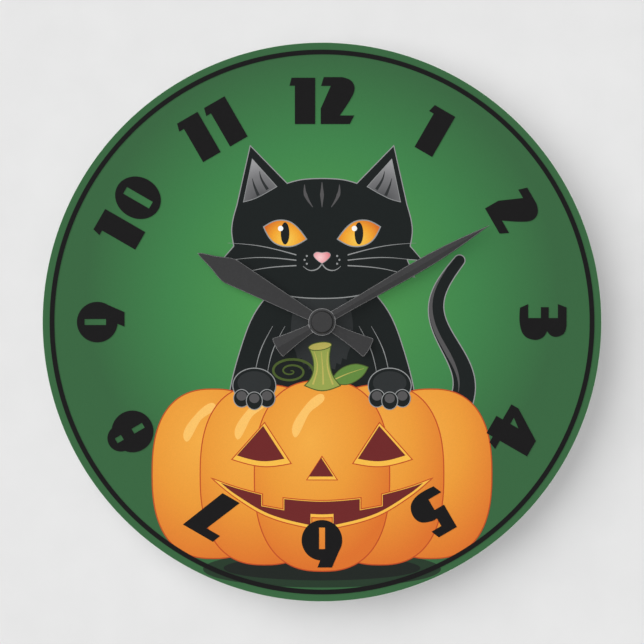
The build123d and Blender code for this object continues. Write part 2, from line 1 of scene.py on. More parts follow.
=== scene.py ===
"""Looks for the printed wall clock: its dial print, every part's material, the wall, lights and camera.

Lengths named in millimetres are turned into metres by MM. Dial artwork is laid out in millimetres about the
spindle, x to the right and z up. It is built as thin closed slabs of ink on the dial panel's face.
"""
import json
import math

import bpy  # noqa: E402
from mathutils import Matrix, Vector  # noqa: E402
from mathutils.geometry import tessellate_polygon  # noqa: E402


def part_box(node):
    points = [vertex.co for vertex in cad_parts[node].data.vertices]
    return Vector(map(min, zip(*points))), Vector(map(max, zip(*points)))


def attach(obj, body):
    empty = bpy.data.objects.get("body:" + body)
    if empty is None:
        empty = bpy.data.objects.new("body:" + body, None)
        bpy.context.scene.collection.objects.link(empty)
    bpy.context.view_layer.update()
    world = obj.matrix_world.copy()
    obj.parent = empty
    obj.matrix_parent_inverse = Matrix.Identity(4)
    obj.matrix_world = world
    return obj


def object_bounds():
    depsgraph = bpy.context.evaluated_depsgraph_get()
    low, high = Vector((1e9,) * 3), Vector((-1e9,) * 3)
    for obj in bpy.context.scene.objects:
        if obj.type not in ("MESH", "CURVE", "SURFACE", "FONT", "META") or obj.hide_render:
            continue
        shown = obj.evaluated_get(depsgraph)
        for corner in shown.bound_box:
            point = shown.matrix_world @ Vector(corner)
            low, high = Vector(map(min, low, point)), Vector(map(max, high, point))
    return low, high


MM = 0.001
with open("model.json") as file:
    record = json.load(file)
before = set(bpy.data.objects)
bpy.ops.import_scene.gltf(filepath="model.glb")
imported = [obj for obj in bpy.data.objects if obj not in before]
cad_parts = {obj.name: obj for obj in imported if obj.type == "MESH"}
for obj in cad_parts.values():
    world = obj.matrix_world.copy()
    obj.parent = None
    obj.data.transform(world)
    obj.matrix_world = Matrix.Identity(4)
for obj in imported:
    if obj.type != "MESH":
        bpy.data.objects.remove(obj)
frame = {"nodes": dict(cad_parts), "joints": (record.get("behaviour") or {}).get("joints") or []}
cad_low, cad_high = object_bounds()

dial_low, dial_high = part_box("dial_panel")
SPINDLE = Vector(frame["joints"][0]["pos_m"])
FACE_Y = dial_low.y
DIAL_RADIUS = (dial_high.z - dial_low.z) / 2 / MM

# The print, in millimetres but for the layer's thickness. Levels count layers of ink out from the panel.
INK_LAYER = 0.012 * MM
SUNK = 0.5  # level of the other slabs' feet, inside the ground's layer so that nothing floats
PRINT_RADIUS = DIAL_RADIUS - 0.3
PRINT_HOLE = 6.35
RING_INNER = 130.5
RING_OUTER = 132.8
NUMERAL_RADIUS = 108.0
NUMERAL_HEIGHT = 23.0
NUMERAL_GAP = 2.7
NUMERAL_LEVEL = 34
CARVING_LEVEL = 22
PAW_LEVEL = 26
FINE_LINE = 0.3  # outline widths
LINE = 0.5

WALL_COLOUR = (231, 231, 231)


# ---------------------------------------------------------------- materials

def linear(value):
    """A screen level from 0 to 255 as a share of light."""
    value = value / 255
    return value / 12.92 if value <= 0.04045 else ((value + 0.055) / 1.055) ** 2.4


def rgba(colour, scale=1.0):
    """A shader colour from screen levels, made lighter or darker by scale."""
    return tuple(min(1.0, linear(c) * scale) for c in colour) + (1.0,)


def ramp(nodes, stops):
    """A colour ramp with the given (position, colour) stops."""
    made = nodes.new("ShaderNodeValToRGB")
    elements = made.color_ramp.elements
    while len(elements) > 1:
        elements.remove(elements[-1])
    for index, (position, colour) in enumerate(stops):
        element = elements[0] if index == 0 else elements.new(position)
        element.position = position
        element.color = colour
    return made


def noise(nodes, links, scale, stretch=(1, 1, 1), detail=4.0):
    """Noise over the piece's own coordinates, with the given scale per metre."""
    coordinates = nodes.new("ShaderNodeTexCoord")
    mapping = nodes.new("ShaderNodeMapping")
    mapping.inputs["Scale"].default_value = stretch
    texture = nodes.new("ShaderNodeTexNoise")
    texture.inputs["Scale"].default_value = scale
    texture.inputs["Detail"].default_value = detail
    links.new(coordinates.outputs["Object"], mapping.inputs["Vector"])
    links.new(mapping.outputs["Vector"], texture.inputs["Vector"])
    return texture.outputs["Fac"]


def spread(nodes, links, value, low, high):
    """Turns a 0.3 to 0.7 noise value into the range low to high."""
    made = nodes.new("ShaderNodeMapRange")
    made.inputs["From Min"].default_value = 0.3
    made.inputs["From Max"].default_value = 0.7
    made.inputs["To Min"].default_value = low
    made.inputs["To Max"].default_value = high
    links.new(value, made.inputs["Value"])
    return made.outputs["Result"]


def multiplied(nodes, links, first, second):
    """Two colour ramps multiplied together."""
    blend = nodes.new("ShaderNodeMix")
    blend.data_type = "RGBA"
    blend.blend_type = "MULTIPLY"
    blend.inputs["Factor"].default_value = 1.0
    links.new(first.outputs["Color"], blend.inputs["A"])
    links.new(second.outputs["Color"], blend.inputs["B"])
    return blend.outputs["Result"]


def new_material(name):
    """A new material, with its nodes, its links and its main shader."""
    made = bpy.data.materials.new(name)
    made.use_nodes = True
    tree = made.node_tree
    return made, tree.nodes, tree.links, tree.nodes["Principled BSDF"]


def finish_surface(nodes, links, shader, scale, roughness, bump, stretch=(1, 1, 1)):
    """Adds roughness that varies and a fine bump."""
    fine = noise(nodes, links, scale, stretch)
    low, high = roughness
    links.new(spread(nodes, links, fine, low, high), shader.inputs["Roughness"])
    bumper = nodes.new("ShaderNodeBump")
    bumper.inputs["Strength"].default_value = bump
    bumper.inputs["Distance"].default_value = 0.02 * MM
    links.new(fine, bumper.inputs["Height"])
    links.new(bumper.outputs["Normal"], shader.inputs["Normal"])


def surface(name, colour, vary=0.12, metallic=0.0, specular=0.5, roughness=(0.4, 0.55), scale=2500.0,
            patch=120.0, bump=0.25, stretch=(1, 1, 1)):
    """A material whose colour drifts in patches, with fine grain in its gloss and relief."""
    made, nodes, links, shader = new_material(name)
    shader.inputs["Metallic"].default_value = metallic
    shader.inputs["Specular IOR Level"].default_value = specular
    shades = ramp(nodes, [(0.32, rgba(colour, 1 - vary)), (0.68, rgba(colour, 1 + vary))])
    links.new(noise(nodes, links, patch, stretch), shades.inputs["Fac"])
    links.new(shades.outputs["Color"], shader.inputs["Base Color"])
    finish_surface(nodes, links, shader, scale, roughness, bump, stretch)
    return made


def distance_from(nodes, links, x, z, reach, flatten=(1.0, 1.0)):
    """0 at the point x, z of the dial (mm from the spindle) and 1 at reach mm away from it."""
    coordinates = nodes.new("ShaderNodeTexCoord")
    shift = nodes.new("ShaderNodeVectorMath")
    shift.operation = "SUBTRACT"
    shift.inputs[1].default_value = (SPINDLE.x + x * MM, 0, SPINDLE.z + z * MM)
    flat = nodes.new("ShaderNodeVectorMath")
    flat.operation = "MULTIPLY"
    flat.inputs[1].default_value = (flatten[0] / (reach * MM), 0, flatten[1] / (reach * MM))
    length = nodes.new("ShaderNodeVectorMath")
    length.operation = "LENGTH"
    links.new(coordinates.outputs["Object"], shift.inputs[0])
    links.new(shift.outputs["Vector"], flat.inputs[0])
    links.new(flat.outputs["Vector"], length.inputs[0])
    return length.outputs["Value"]


def ink(name, shades, centre=None, reach=None, flatten=(1.0, 1.0)):
    """Printed ink. shades is one colour, or (position, colour) stops from a centre out to its reach."""
    made, nodes, links, shader = new_material("ink_" + name)
    shader.inputs["Specular IOR Level"].default_value = 0.06
    grain = noise(nodes, links, 1800.0)
    if centre:
        base = ramp(nodes, [(position, rgba(colour)) for position, colour in shades])
        links.new(distance_from(nodes, links, *centre, reach, flatten), base.inputs["Fac"])
        tone = ramp(nodes, [(0.35, (0.96, 0.96, 0.96, 1)), (0.65, (1.0, 1.0, 1.0, 1))])
        links.new(grain, tone.inputs["Fac"])
        links.new(multiplied(nodes, links, base, tone), shader.inputs["Base Color"])
    else:
        base = ramp(nodes, [(0.35, rgba(shades, 0.965)), (0.65, rgba(shades, 1.035))])
        links.new(grain, base.inputs["Fac"])
        links.new(base.outputs["Color"], shader.inputs["Base Color"])
    finish_surface(nodes, links, shader, 2600.0, (0.52, 0.62), 0.08)
    return made


BLACK = (23, 28, 28)
GREY = (85, 84, 85)
LINE_GREY = (148, 150, 150)
GLOW_MIDDLE, GLOW_HALFWAY, GLOW_EDGE = (78, 156, 80), (63, 132, 75), (56, 103, 64)
GROUND_SHADES = [(0.1, GLOW_MIDDLE), (0.58, GLOW_HALFWAY), (0.92, GLOW_EDGE)]
LOBE_SHADES = [(0.0, (246, 174, 70)), (0.5, (238, 156, 56)), (1.0, (224, 116, 44))]
IRIS_SHADES = [(0.0, (248, 206, 84)), (0.55, (244, 166, 48)), (1.0, (214, 104, 36))]
EAR_SHADES = [(0.0, (60, 61, 63)), (0.55, (122, 122, 124)), (1.0, (172, 172, 174))]
NOSE_SHADES = [(0.0, (252, 206, 208)), (1.0, (224, 126, 134))]

# Places in the picture, from the spindle. Those of the eye and ear are mirrored for the left side.
LOBE_OFFSETS = (0, 28, 53)
PUMPKIN_MIDDLE = -75.0
GLOW_AT = (0, 15)
NOSE_AT = (-1, 31.5)
EYE_PLACE = (17.5, 43.0)
EAR_PLACE = (29.0, 66.0)
SIDES = (-1, 1)


def lobe_places():
    """Each rib's number, negative on the left, and its middle, from the outer pair to the middle one."""
    for number in reversed(range(len(LOBE_OFFSETS))):
        for side in SIDES if number else (1,):
            yield side * number, side * LOBE_OFFSETS[number]


INKS = {
    "ground": ink("ground", GROUND_SHADES, centre=GLOW_AT, reach=125),
    "ground_shade": ink("ground_shade", (38, 58, 42)),
    "ground_dark": ink("ground_dark", (30, 36, 32)),
    "black": ink("black", BLACK),
    "numeral": ink("numeral", (19, 18, 19)),
    "grey": ink("grey", GREY),
    "soft_black": ink("soft_black", (44, 47, 48)),
    "line": ink("line", LINE_GREY),
    "outline": ink("outline", (192, 78, 36)),
    "gloss": ink("gloss", (252, 196, 104)),
    "hollow": ink("hollow", (110, 38, 38)),
    "cut": ink("cut", (248, 190, 74)),
    "white": ink("white", (248, 248, 246)),
    "nose": ink("nose", NOSE_SHADES, centre=NOSE_AT, reach=5),
    "stem": ink("stem", (150, 163, 78)),
    "stem_light": ink("stem_light", (188, 178, 92)),
    "leaf": ink("leaf", (98, 136, 62)),
    "stem_line": ink("stem_line", (74, 92, 42)),
}
for number, x in lobe_places():
    lobe = f"lobe_{number}"
    INKS[lobe] = ink(lobe, LOBE_SHADES, centre=(x - 6, PUMPKIN_MIDDLE + 17), reach=62, flatten=(1.4, 1.0))
for side in SIDES:
    iris, ear = f"iris_{side}", f"ear_{side}"
    INKS[iris] = ink(iris, IRIS_SHADES, centre=(side * EYE_PLACE[0], EYE_PLACE[1] - 3), reach=12)
    INKS[ear] = ink(ear, EAR_SHADES, centre=(side * EAR_PLACE[0], EAR_PLACE[1] - 8), reach=24)


# ------------------------------------------------------------ printed shapes

class Artwork:
    """Thin closed layers of ink, gathered into one mesh."""

    def __init__(self, name):
        self.name = name
        self.points = []
        self.faces = []
        self.face_inks = []
        self.inks = []

    def add(self, points, triangles, ink_name, level):
        """Adds flat triangles as a slab. Its front is at the given level and its foot is in the ground."""
        if ink_name not in self.inks:
            self.inks.append(ink_name)
        used = self.inks.index(ink_name)
        base, count = len(self.points), len(points)
        for depth in (level + 1, SUNK if level else 0):
            for x, z in points:
                y = FACE_Y - depth * INK_LAYER
                self.points.append((SPINDLE.x + x * MM, y, SPINDLE.z + z * MM))
        edges = {}
        for triangle in triangles:
            a, b, c = (Vector(points[i]) for i in triangle)
            if (b - a).cross(c - a) < 0:
                triangle = tuple(reversed(triangle))
            front = [base + i for i in triangle]
            self.faces.append(front)
            self.faces.append([i + count for i in reversed(front)])
            for i in range(3):
                edges[(triangle[i], triangle[(i + 1) % 3])] = True
            self.face_inks += [used, used]
        for a, b in edges:
            if (b, a) not in edges:
                self.faces.append([base + b, base + a, base + a + count, base + b + count])
                self.face_inks.append(used)

    def fill(self, outline, ink_name, level, holes=()):
        """Fills a closed outline, leaving its holes open."""
        loops = [[Vector((x, z, 0)) for x, z in loop] for loop in (outline, *holes)]
        points = [point for loop in (outline, *holes) for point in loop]
        self.add(points, tessellate_polygon(loops), ink_name, level)

    def stroke(self, path, widths, ink_name, level, closed=False):
        """A line along a path. widths is one width, or its widths from start to end.

        The line keeps its width round a bend, up to a limit at a sharp one.
        """
        count = len(path)
        widths = widths if isinstance(widths, (tuple, list)) else (widths, widths)
        points, triangles = [], []
        for i, here in enumerate(path):
            before = Vector(path[i - 1] if closed or i else here)
            after = Vector(path[(i + 1) % count] if closed or i + 1 < count else here)
            here = Vector(here)
            into = (here - before).normalized() if (here - before).length > 1e-6 else None
            out = (after - here).normalized() if (after - here).length > 1e-6 else None
            into, out = into or out, out or into
            middle = into + out
            middle = middle.normalized() if middle.length > 0.2 else into
            normal = Vector((-middle.y, middle.x))
            mitre = min(1.8, 1 / max(0.3, middle.dot(into)))
            share = i / (count - 1) * (len(widths) - 1)
            low = min(int(share), len(widths) - 2)
            half = (widths[low] + (widths[low + 1] - widths[low]) * (share - low)) / 2 * mitre
            points += [tuple(here + normal * half), tuple(here - normal * half)]
        for i in range(count if closed else count - 1):
            a, b = 2 * i, 2 * ((i + 1) % count)
            triangles += [(a, a + 1, b + 1), (a, b + 1, b)]
        self.add(points, triangles, ink_name, level)

    def drawn(self, outline, ink_name, level, line="outline", width=0.45, holes=()):
        """A filled shape with a line round it, one layer higher."""
        self.fill(outline, ink_name, level, holes)
        self.stroke(outline, width, line, level + 1, closed=True)

    def build(self):
        """Makes the mesh, in its inks, and lets it ride the clock's fixed body."""
        mesh = bpy.data.meshes.new(self.name)
        mesh.from_pydata(self.points, [], self.faces)
        for name in self.inks:
            mesh.materials.append(INKS[name])
        mesh.polygons.foreach_set("material_index", self.face_inks)
        mesh.validate()
        mesh.update()
        piece = bpy.data.objects.new(self.name, mesh)
        bpy.context.scene.collection.objects.link(piece)
        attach(piece, "root")
        return piece


def flow(points, closed=True, steps=9):
    """A smooth line through points. A point with a third entry is a corner."""
    count = len(points)
    flat = [Vector(p[:2]) for p in points]
    corner = [len(p) > 2 or (not closed and i in (0, count - 1)) for i, p in enumerate(points)]
    line = []
    for i in range(count if closed else count - 1):
        j = (i + 1) % count
        start, end = flat[i], flat[j]
        chord = end - start
        lean = {}
        for k in (i, j):
            if not corner[k]:
                way = flat[(k + 1) % count] - flat[k - 1]
                lean[k] = way.normalized() * chord.length
        if i not in lean and j not in lean:
            line.append(tuple(start))
            continue
        first = lean[i] if i in lean else (3 * chord - lean[j]) / 2
        last = lean[j] if j in lean else (3 * chord - lean[i]) / 2
        for step in range(steps):
            t = step / steps
            point = (start * (2 * t**3 - 3 * t**2 + 1) + first * (t**3 - 2 * t**2 + t)
                     + end * (3 * t**2 - 2 * t**3) + last * (t**3 - t**2))
            line.append(tuple(point))
    if not closed:
        line.append(tuple(flat[-1]))
    return line


def oval(x, z, across, up, turn=0.0, count=48):
    """An ellipse with half sizes across and up, turned anticlockwise by turn degrees."""
    cos, sin = math.cos(math.radians(turn)), math.sin(math.radians(turn))
    line = []
    for i in range(count):
        angle = math.tau * i / count
        u, v = across * math.cos(angle), up * math.sin(angle)
        line.append((x + u * cos - v * sin, z + u * sin + v * cos))
    return line


def squircle(x, z, across, up, squareness=2.5, count=96):
    """An oval with fuller shoulders than an ellipse, which has a squareness of 2."""
    line = []
    for i in range(count):
        cos, sin = math.cos(math.tau * i / count), math.sin(math.tau * i / count)
        line.append((x + across * math.copysign(abs(cos) ** (2 / squareness), cos),
                     z + up * math.copysign(abs(sin) ** (2 / squareness), sin)))
    return line


def mirrored(line):
    """The line's mirror image across the dial's upright."""
    return [(-point[0], *point[1:]) for point in line]


def both_halves(line):
    """A closed outline from its right half. Points on the dial's upright aren't repeated."""
    return line + mirrored([point for point in line if point[0] != 0])[::-1]


def scaled(line, share, x=0.0, z=0.0):
    """The line drawn smaller about its middle, then moved."""
    middle_x = (min(p[0] for p in line) + max(p[0] for p in line)) / 2
    middle_z = (min(p[1] for p in line) + max(p[1] for p in line)) / 2
    return [(middle_x + (p[0] - middle_x) * share + x, middle_z + (p[1] - middle_z) * share + z, *p[2:])
            for p in line]


def box_hole(left, right, low, high):
    """An upright slit in a figure."""
    return [(left, low), (right, low), (right, high), (left, high)]


def beside(path, away):
    """The path moved to its left by away."""
    made = []
    for i, here in enumerate(path):
        run = Vector(path[min(i + 1, len(path) - 1)]) - Vector(path[max(i - 1, 0)])
        run.normalize()
        made.append((here[0] - run.y * away, here[1] + run.x * away))
    return made


def tapered(path, root_width, tip_width):
    """The outline of a limb along a path, from its root to a round tip."""
    last = len(path) - 1
    left, right = [], []
    for i, here in enumerate(path):
        half = (root_width + (tip_width - root_width) * i / last) / 2
        run = (Vector(path[min(i + 1, last)]) - Vector(path[max(i - 1, 0)])).normalized()
        left.append((here[0] - run.y * half, here[1] + run.x * half))
        right.append((here[0] + run.y * half, here[1] - run.x * half))
    heading = math.atan2(run.y, run.x)
    turns = [heading + math.radians(angle) for angle in range(75, -76, -15)]
    tip = [(path[-1][0] + half * math.cos(turn), path[-1][1] + half * math.sin(turn)) for turn in turns]
    return left + tip + right[::-1]


# Ground, ring and numerals. The spindle and its tubes turn in the hole, so every ink stops at its edge.
spindle_hole = oval(0, 0, PRINT_HOLE, PRINT_HOLE, count=64)
ground = Artwork("print_ground")
ground.fill(oval(0, 0, PRINT_RADIUS, PRINT_RADIUS, count=288), "ground", 0, [spindle_hole])
ground.fill(oval(0, -120.5, 58, 9, count=96), "ground_shade", 1)
ground.fill(oval(0, -120, 48, 6, count=96), "ground_dark", 2)
ground.build()

# Each figure's width, then its outlines with their holes, from its lower left corner.
DIGITS = {
    "0": (20.0, [(oval(10, 11.5, 10, 11.5, count=64), [box_hole(8.15, 11.85, 4.2, 18.8)])]),
    "1": (12.5, [([(2.6, 0), (12.5, 0), (12.5, 22.6), (1, 22.6), (0, 18.7), (2.6, 18.7)], [])]),
    "2": (16.5, [(flow([(1.5, 22.9, 1), (0.2, 18.6, 1), (4.9, 18.6, 1), (0, 7.5, 1), (0, 0, 1),
                        (14.2, 0, 1), (16.3, 4.2, 1), (9.3, 4.2, 1), (15.3, 13.5), (16.5, 17.5),
                        (15, 21), (10.5, 22.9, 1)]), [])]),
    "3": (17.5, [(flow([(1.6, 22.7, 1), (0, 18.5, 1), (6.8, 18.5, 1), (6.8, 14, 1), (1.5, 14, 1),
                        (1.5, 10.2, 1), (6.8, 10.2, 1), (6.8, 4, 1), (0, 4, 1), (1.8, 0, 1), (10.2, 0),
                        (15.5, 2.2), (17.5, 7.2), (16.2, 11.2), (13.2, 13.2, 1), (15.6, 15.5),
                        (15.9, 18.5), (14.2, 21.5), (10.5, 22.7, 1)]), [])]),
    "4": (22.8, [([(9.5, 22.8), (18.2, 22.8), (18.2, 7.5), (22.8, 7.5), (21.3, 3.5), (18.2, 3.5), (18.2, 0),
                   (8.5, 0), (8.5, 3.5), (0, 3.5), (0, 7.5)], [[(8.5, 7.8), (8.5, 12.4), (5, 7.8)]])]),
    "5": (17.8, [(flow([(1.9, 22.9, 1), (12.1, 22.9, 1), (13.8, 18.7, 1), (8.3, 18.7, 1), (8.3, 14.4, 1),
                        (11, 14.4), (16.2, 12), (17.8, 7.5), (16, 2.5), (11, 0), (1.9, 0, 1), (0, 4.4, 1),
                        (7.2, 4.4, 1), (7.2, 10.3, 1), (1.9, 10.3, 1)]), [])]),
    "6": (19.9, [(oval(10, 9.9, 9.9, 9.9, count=64), [box_hole(8.5, 11.4, 3.7, 14.2)]),
                 ([(5.1, 23.2), (1.2, 14.2), (2.6, 13), (8.2, 16.8), (10.4, 18.6), (12.2, 23.2)], [])]),
    "7": (18.8, [([(1.9, 22.9), (18.8, 22.9), (9.7, 0), (0, 0), (7.8, 18.7), (0.3, 18.7)], [])]),
    "8": (20.4, [(oval(10.2, 10.2, 10.2, 10.2, count=64),
                  [box_hole(8.85, 11.55, 4.1, 10.0), box_hole(8.75, 11.65, 15.8, 19.5)]),
                 (oval(10.2, 16.8, 6.5, 6.5, count=48), [box_hole(8.85, 11.55, 15.9, 19.4)])]),
}


def digit_shapes(figure):
    """The width of a figure and its (outline, holes) shapes. The nine is the six upside down."""
    if figure != "9":
        return DIGITS[figure]
    width, shapes = DIGITS["6"]

    def upside_down(line):
        return [(width - x, NUMERAL_HEIGHT - z) for x, z in line]

    return width, [(upside_down(outline), [upside_down(hole) for hole in holes]) for outline, holes in shapes]


def numeral(artwork, hour):
    """An hour figure, its top turned outwards."""
    figures = [digit_shapes(figure) for figure in str(hour)]
    total = sum(width for width, _ in figures) + NUMERAL_GAP * (len(figures) - 1)
    angle = -math.tau * hour / 12
    cos, sin = math.cos(angle), math.sin(angle)
    left = -total / 2

    def turned(line):
        made = []
        for x, z in line:
            u, v = x + left, z - NUMERAL_HEIGHT / 2 + NUMERAL_RADIUS
            made.append((u * cos - v * sin, u * sin + v * cos))
        return made

    for width, shapes in figures:
        for index, (outline, holes) in enumerate(shapes):
            artwork.fill(turned(outline), "numeral", NUMERAL_LEVEL + index, [turned(hole) for hole in holes])
        left += width + NUMERAL_GAP


numerals = Artwork("print_numerals")
numerals.fill(oval(0, 0, RING_OUTER, RING_OUTER, count=240), "numeral", NUMERAL_LEVEL,
              [oval(0, 0, RING_INNER, RING_INNER, count=240)])
for hour in range(1, 13):
    numeral(numerals, hour)
numerals.build()

# The picture: a plain black cat, seen from the front, behind a plain carved pumpkin. Both are laid out the
# same left and right of the dial's upright, apart from the cat's tail, the pumpkin's stem and the light.
def on_side(side, line):
    """The line as drawn for the right side, or its mirror image for the left."""
    return line if side > 0 else mirrored(line)


def draw_tail(art):
    """A tapering tail in an S beside the body."""
    steps, sway, lean, rise = 60, 9, 9, 84
    path = []
    for i in range(steps + 1):
        share = i / steps
        path.append((58 + sway * math.sin(math.tau * share) + lean * share, -54 + rise * share))
    art.drawn(tapered(path, 13, 5.5), "black", 4, line="line", width=LINE)
    art.stroke(beside(path[14:-4], 2.6), (0.3, 2.2, 1.8, 0.3), "grey", 6)


def draw_body(art):
    """Shoulders and chest, down behind the pumpkin."""
    half = [(0, 22, 1), (22, 18, 1), (33, 4), (40, -14), (45, -34), (47, -56, 1)]
    art.drawn(flow(both_halves(half)), "black", 7, line="line", width=LINE, holes=[spindle_hole])
    tufts, drop = 5, 3.2
    chest = [(0, 16, 1), (11, 12), (15, 0), (14, -12, 1)]
    for i in range(tufts):
        share = (i + 0.5) / tufts
        x, z = 14 * (1 - share), -14 - 12 * share
        chest += [(x, z, 1), (x - 0.6, z - drop, 1)]
    chest.append((0, -31, 1))
    art.fill(flow(both_halves(chest)), "soft_black", 9, [spindle_hole])
    for side in SIDES:
        for reach in (24, 30):
            curve = flow([(reach - 6, -2), (reach, -14), (reach + 3, -27)], closed=False)
            art.stroke(on_side(side, curve), (0.15, 0.45, 0.15), "line", 9)


def draw_head(art):
    """A round head with two upright ears and a tuft on each cheek."""
    crown_and_ear = [(0, 70, 1), (10, 69.4), (17, 67.6, 1), (35, 86, 1), (41.5, 57, 1), (44, 46)]
    cheek_and_chin = [(43, 37, 1), (49, 30, 1), (41.5, 30.5, 1), (45, 22, 1), (36, 22.8, 1), (24, 14.5),
                      (0, 11.5)]
    outline = flow(both_halves(crown_and_ear + cheek_and_chin))
    art.drawn(outline, "black", 10, line="line", width=LINE)
    for side in SIDES:
        inner = [(22, 66, 1), (34, 79.5, 1), (38.3, 58.5, 1), (32, 60.5)]
        art.drawn(flow(on_side(side, inner)), f"ear_{side}", 12, line="line", width=FINE_LINE)
        for root, tip in (((26.5, 64.6), (30.5, 73.5)), ((31, 61.6), (34, 70))):
            fur = flow([root, (tip[0] - 1, (root[1] + tip[1]) / 2 + 0.6), tip], closed=False)
            art.stroke(on_side(side, fur), (1.5, 0.9, 0.2), "soft_black", 14)


def draw_face(art):
    """Almond eyes with upright pupils, a small nose and mouth, and whiskers."""
    x, z = EYE_PLACE
    for side in SIDES:
        lids = [(-10, -2.6, 1), (-3, 5.2), (4, 6.6), (11, 3.4, 1), (6, -4.2), (-2, -6.2)]
        almond = flow([(x + point[0], z + point[1], *point[2:]) for point in lids])
        art.drawn(on_side(side, almond), f"iris_{side}", 12, line="line", width=0.55)
        art.fill(oval(side * (x + 0.5), z + 0.2, 2.1, 5.4), "black", 14)
        art.fill(oval(side * (x + 0.5) - 2.2, z + 2.6, 1.3, 1.3, count=24), "white", 15)
        mark = flow([(x - 13, z + 13), (x - 9.5, z + 19), (x - 9, z + 24)], closed=False)
        art.stroke(on_side(side, mark), (0.3, 1.7, 0.3), "grey", 12)
        lip = flow([(0, 28.4), (2.4, 25.8), (6, 25.2), (9.2, 27.2)], closed=False)
        art.stroke(on_side(side, lip), (0.55, 0.55, 0.2), "line", 12)
        for row in range(3):
            start = (12.5, 27.5 + 2.6 * row)
            end = (46, 21.5 + 8.5 * row)
            whisker = flow([start, (30, (start[1] + end[1]) / 2 + 1.4), end], closed=False)
            art.stroke(on_side(side, whisker), (0.55, 0.35, 0.1), "line", 16)
            art.fill(oval(side * (7.4 + 1.1 * (row % 2)), 28.4 + 1.9 * row, 0.5, 0.5, count=16), "line", 12)
    middle_mark = flow([(0, z + 13), (0.01, z + 19), (0, z + 25.2)], closed=False)
    art.stroke(middle_mark, (0.3, 1.9, 0.3), "grey", 12)
    nose = both_halves([(0, 33.8), (2.8, 34), (4.1, 32.6), (2.2, 30), (0, 28.6, 1)])
    art.drawn(flow(nose), "nose", 12, line="line", width=0.25)


def draw_paw(art, side):
    """A forepaw laid over the pumpkin's top, with toes. The middle toe is lower and in front."""
    across = side * 33
    art.drawn(oval(across, -31, 10.5, 8.5), "black", PAW_LEVEL, line="line", width=0.45)
    art.fill(oval(across, -29.6, 8.2, 5.6), "soft_black", PAW_LEVEL + 2)
    for toe in (-1, 1, 0):
        level, drop = (PAW_LEVEL + 3, 0) if toe else (PAW_LEVEL + 5, 1.2)
        x = across + toe * 6.2
        art.drawn(oval(x, -37.2 - drop, 3.9, 4.3), "black", level, line="line", width=0.4)
        art.fill(oval(x, -36 - drop, 2.5, 2.3), "grey", level + 1)


def draw_lobes(art):
    """The pumpkin's ribs, from the outer pair to the middle one. Those on the lit side have a gloss."""
    for number, x in lobe_places():
        out = abs(number)
        level = 12 + 3 * (len(LOBE_OFFSETS) - 1 - out)
        up = 46.5 - 2.6 * out
        shape = squircle(x, PUMPKIN_MIDDLE + 0.5 * out, 33 - 1.6 * out, up)
        art.drawn(shape, f"lobe_{number}", level, width=0.55)
        if x <= 0:
            shine = [(-14, 0.42), (-8, 0.74), (1, 0.84), (-6, 0.66)]
            gloss = flow([(x + away, PUMPKIN_MIDDLE + up * height) for away, height in shine])
            art.fill(gloss, "gloss", level + 2)


def carve(art, outline):
    """A hole cut through the pumpkin: the lit thickness of the wall, then the dark inside."""
    art.drawn(flow(outline), "cut", CARVING_LEVEL, width=LINE)
    art.fill(flow(scaled(outline, 0.8, x=-0.4, z=0.5)), "hollow", CARVING_LEVEL + 2)


def grin(wall=0.0):
    """A crescent smile with two teeth above and one below. wall draws it in, most along its bottom."""
    reach, corner_z, top_dip, bottom_dip = 54, -76, 11, 25
    tooth_half, tooth_height, tooth_middle = 5, 5.5, 24
    lip = 0.35 * wall
    tip_x = reach * math.sqrt(1 - (wall + lip) / (bottom_dip - top_dip))

    def top(x):
        return corner_z - top_dip * (1 - (x / reach) ** 2) - lip

    def bottom(x):
        return corner_z - bottom_dip * (1 - (x / reach) ** 2) + wall

    inner, outer = tooth_middle - tooth_half - lip, tooth_middle + tooth_half + lip
    lower = tooth_half + lip
    upper_lip = [(0, top(0)), (inner, top(inner), 1), (inner, top(inner) - tooth_height, 1),
                 (outer, top(outer) - tooth_height, 1), (outer, top(outer), 1), (42, top(42)),
                 (tip_x, top(tip_x), 1)]
    lower_lip = [(42, bottom(42)), (26, bottom(26)), (lower, bottom(lower), 1),
                 (lower, bottom(lower) + tooth_height, 1), (0, bottom(0) + tooth_height)]
    return both_halves(upper_lip + lower_lip)


def draw_carving(art):
    """Two three-cornered eyes, a three-cornered nose and the grin."""
    eye = [(15, -69, 1), (28, -49, 1), (44, -67, 1), (29, -70.5)]
    for side in SIDES:
        carve(art, on_side(side, eye))
    carve(art, [(-7.5, -77, 1), (0, -65.5, 1), (7.5, -77, 1)])
    art.drawn(flow(grin()), "cut", CARVING_LEVEL, width=LINE)
    art.fill(flow(grin(wall=1.7)), "hollow", CARVING_LEVEL + 2)


